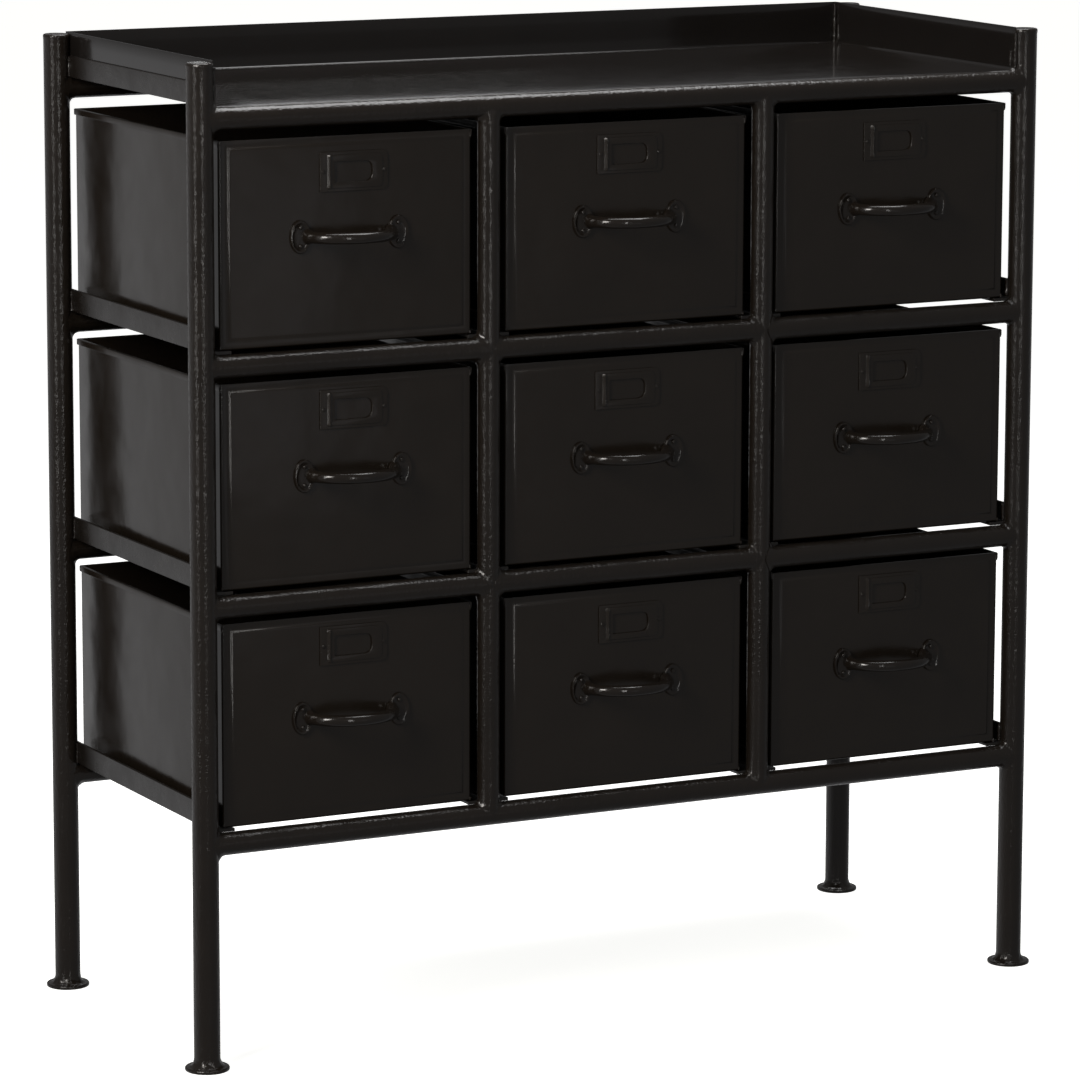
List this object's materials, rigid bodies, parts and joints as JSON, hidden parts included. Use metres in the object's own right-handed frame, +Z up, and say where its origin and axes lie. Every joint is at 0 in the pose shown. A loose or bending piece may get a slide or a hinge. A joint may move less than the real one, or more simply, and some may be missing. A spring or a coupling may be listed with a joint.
{
  "type": "chest of drawers",
  "caption": "Steel chest of open-topped sheet metal drawers with bow handles and label holders, in a welded round tube frame on legs, with a walled tray top.",
  "frame": {"origin": "on the floor, under the middle of the whole object's box, handles included", "axes": "+Z up; the drawers open towards -Y; +X is to the right of someone facing the front"},
  "size_m": [0.943, 0.41, 0.9645],
  "materials": {
    "frame_enamel": "gloss black enamel, brushed or dipped, with runs",
    "drawer_enamel": "satin black enamel",
    "tray_enamel": "semi-gloss black enamel",
    "fitting_enamel": "gloss black enamel over cast and pressed fittings"
  },
  "bodies": {
    "frame": {"post_front_left": "frame_enamel", "post_front_right": "frame_enamel", "post_rear_left": "frame_enamel", "post_rear_right": "frame_enamel", "front_rail_top": "frame_enamel", "front_rail_bottom": "frame_enamel", "front_rail_upper_left": "frame_enamel", "front_rail_upper_centre": "frame_enamel", "front_rail_upper_right": "frame_enamel", "front_rail_lower_left": "frame_enamel", "front_rail_lower_centre": "frame_enamel", "front_rail_lower_right": "frame_enamel", "back_rail_top": "frame_enamel", "back_rail_upper": "frame_enamel", "back_rail_lower": "frame_enamel", "back_rail_bottom": "frame_enamel", "upright_left": "frame_enamel", "upright_right": "frame_enamel", "side_angle_left_upper": "frame_enamel", "side_angle_left_lower": "frame_enamel", "side_angle_left_bottom": "frame_enamel", "side_angle_right_upper": "frame_enamel", "side_angle_right_lower": "frame_enamel", "side_angle_right_bottom": "frame_enamel", "side_bar_left_top": "frame_enamel", "side_bar_right_top": "frame_enamel", "runner_left_upper": "frame_enamel", "runner_left_lower": "frame_enamel", "runner_left_bottom": "frame_enamel", "runner_right_upper": "frame_enamel", "runner_right_lower": "frame_enamel", "runner_right_bottom": "frame_enamel", "tray_top": "tray_enamel"},
    "drawer_r1c1": {"drawer_r1c1_box": "drawer_enamel", "drawer_r1c1_handle": "fitting_enamel", "drawer_r1c1_label_holder": "fitting_enamel"},
    "drawer_r1c2": {"drawer_r1c2_box": "drawer_enamel", "drawer_r1c2_handle": "fitting_enamel", "drawer_r1c2_label_holder": "fitting_enamel"},
    "drawer_r1c3": {"drawer_r1c3_box": "drawer_enamel", "drawer_r1c3_handle": "fitting_enamel", "drawer_r1c3_label_holder": "fitting_enamel"},
    "drawer_r2c1": {"drawer_r2c1_box": "drawer_enamel", "drawer_r2c1_handle": "fitting_enamel", "drawer_r2c1_label_holder": "fitting_enamel"},
    "drawer_r2c2": {"drawer_r2c2_box": "drawer_enamel", "drawer_r2c2_handle": "fitting_enamel", "drawer_r2c2_label_holder": "fitting_enamel"},
    "drawer_r2c3": {"drawer_r2c3_box": "drawer_enamel", "drawer_r2c3_handle": "fitting_enamel", "drawer_r2c3_label_holder": "fitting_enamel"},
    "drawer_r3c1": {"drawer_r3c1_box": "drawer_enamel", "drawer_r3c1_handle": "fitting_enamel", "drawer_r3c1_label_holder": "fitting_enamel"},
    "drawer_r3c2": {"drawer_r3c2_box": "drawer_enamel", "drawer_r3c2_handle": "fitting_enamel", "drawer_r3c2_label_holder": "fitting_enamel"},
    "drawer_r3c3": {"drawer_r3c3_box": "drawer_enamel", "drawer_r3c3_handle": "fitting_enamel", "drawer_r3c3_label_holder": "fitting_enamel"}
  },
  "joints": [
    {"name": "drawer_r1c1_slide", "type": "slide", "parent": "frame", "child": "drawer_r1c1", "axis": [0, -1, 0], "range_m": [0, 0.27]},
    {"name": "drawer_r1c2_slide", "type": "slide", "parent": "frame", "child": "drawer_r1c2", "axis": [0, -1, 0], "range_m": [0, 0.27]},
    {"name": "drawer_r1c3_slide", "type": "slide", "parent": "frame", "child": "drawer_r1c3", "axis": [0, -1, 0], "range_m": [0, 0.27]},
    {"name": "drawer_r2c1_slide", "type": "slide", "parent": "frame", "child": "drawer_r2c1", "axis": [0, -1, 0], "range_m": [0, 0.27]},
    {"name": "drawer_r2c2_slide", "type": "slide", "parent": "frame", "child": "drawer_r2c2", "axis": [0, -1, 0], "range_m": [0, 0.27]},
    {"name": "drawer_r2c3_slide", "type": "slide", "parent": "frame", "child": "drawer_r2c3", "axis": [0, -1, 0], "range_m": [0, 0.27]},
    {"name": "drawer_r3c1_slide", "type": "slide", "parent": "frame", "child": "drawer_r3c1", "axis": [0, -1, 0], "range_m": [0, 0.27]},
    {"name": "drawer_r3c2_slide", "type": "slide", "parent": "frame", "child": "drawer_r3c2", "axis": [0, -1, 0], "range_m": [0, 0.27]},
    {"name": "drawer_r3c3_slide", "type": "slide", "parent": "frame", "child": "drawer_r3c3", "axis": [0, -1, 0], "range_m": [0, 0.27]}
  ]
}
